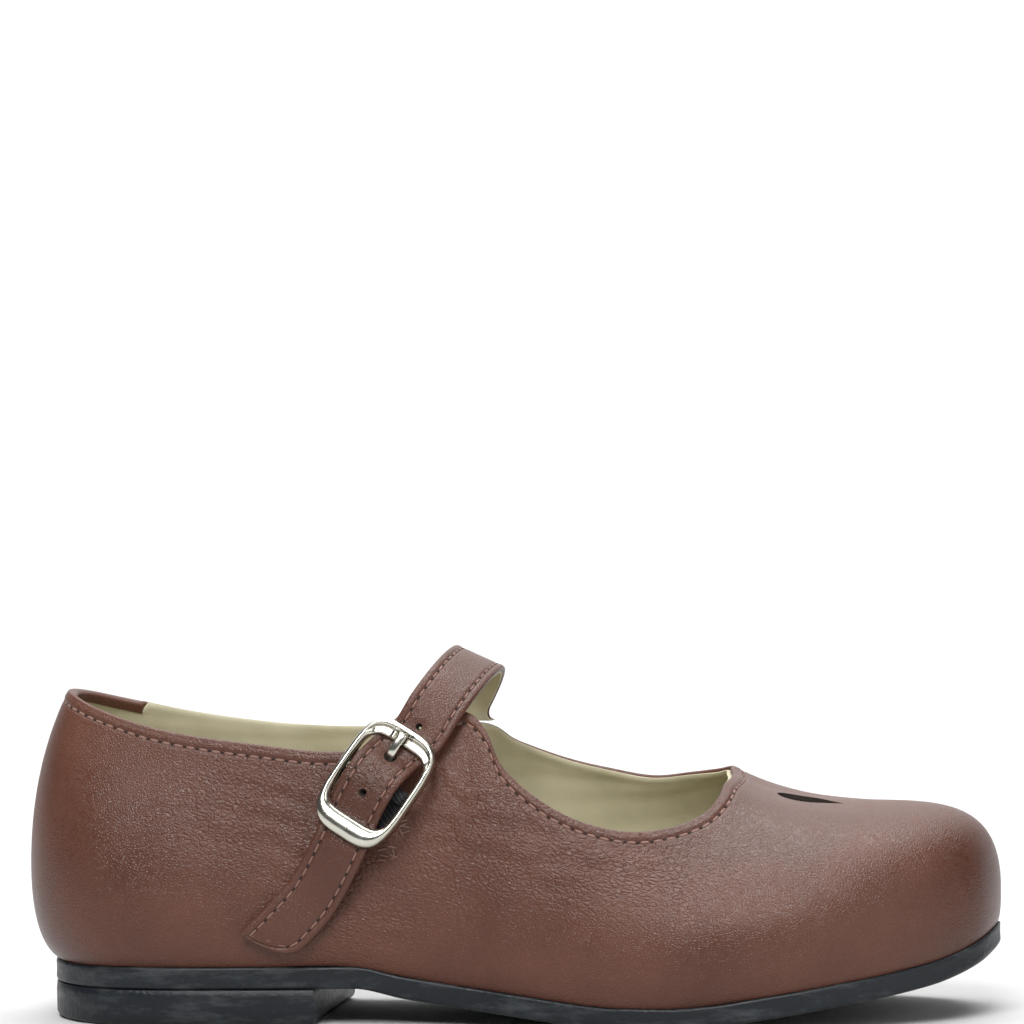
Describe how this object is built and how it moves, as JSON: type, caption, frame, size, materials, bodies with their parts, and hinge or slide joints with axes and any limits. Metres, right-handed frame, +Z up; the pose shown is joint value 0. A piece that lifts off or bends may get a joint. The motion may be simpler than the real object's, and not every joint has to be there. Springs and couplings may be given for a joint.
{
  "type": "mary jane shoe",
  "caption": "Low shoe with a wide throat, one buckled strap over the instep, a drop-shaped vamp cut-out and a low block heel.",
  "frame": {"origin": "middle of the heel's flat ground face, at the height where the sole stands", "axes": "+X along the shoe from the heel to the toe, -Y to the outer side with the buckle, +Y to the inner side, +Z up; the shoe stands on Z = 0"},
  "size_m": [0.1716, 0.0591, 0.0645],
  "materials": {
    "sole_rubber": "satin moulded rubber",
    "heel_rubber": "satin moulded rubber",
    "upper_leather": "soft reddish brown leather, fine grain, low sheen",
    "insole_lining": "matt cream lining leather",
    "strap_leather": "soft reddish brown leather, stitched edges",
    "buckle_metal": "polished nickel plate",
    "prong_metal": "polished nickel plate",
    "tab_elastic": "black woven elastic"
  },
  "bodies": {
    "root": {"outsole": "sole_rubber", "heel": "heel_rubber", "upper": "upper_leather", "insole": "insole_lining", "strap": "strap_leather", "buckle_frame": "buckle_metal", "buckle_prong": "prong_metal", "buckle_tab": "tab_elastic"}
  },
  "joints": []
}
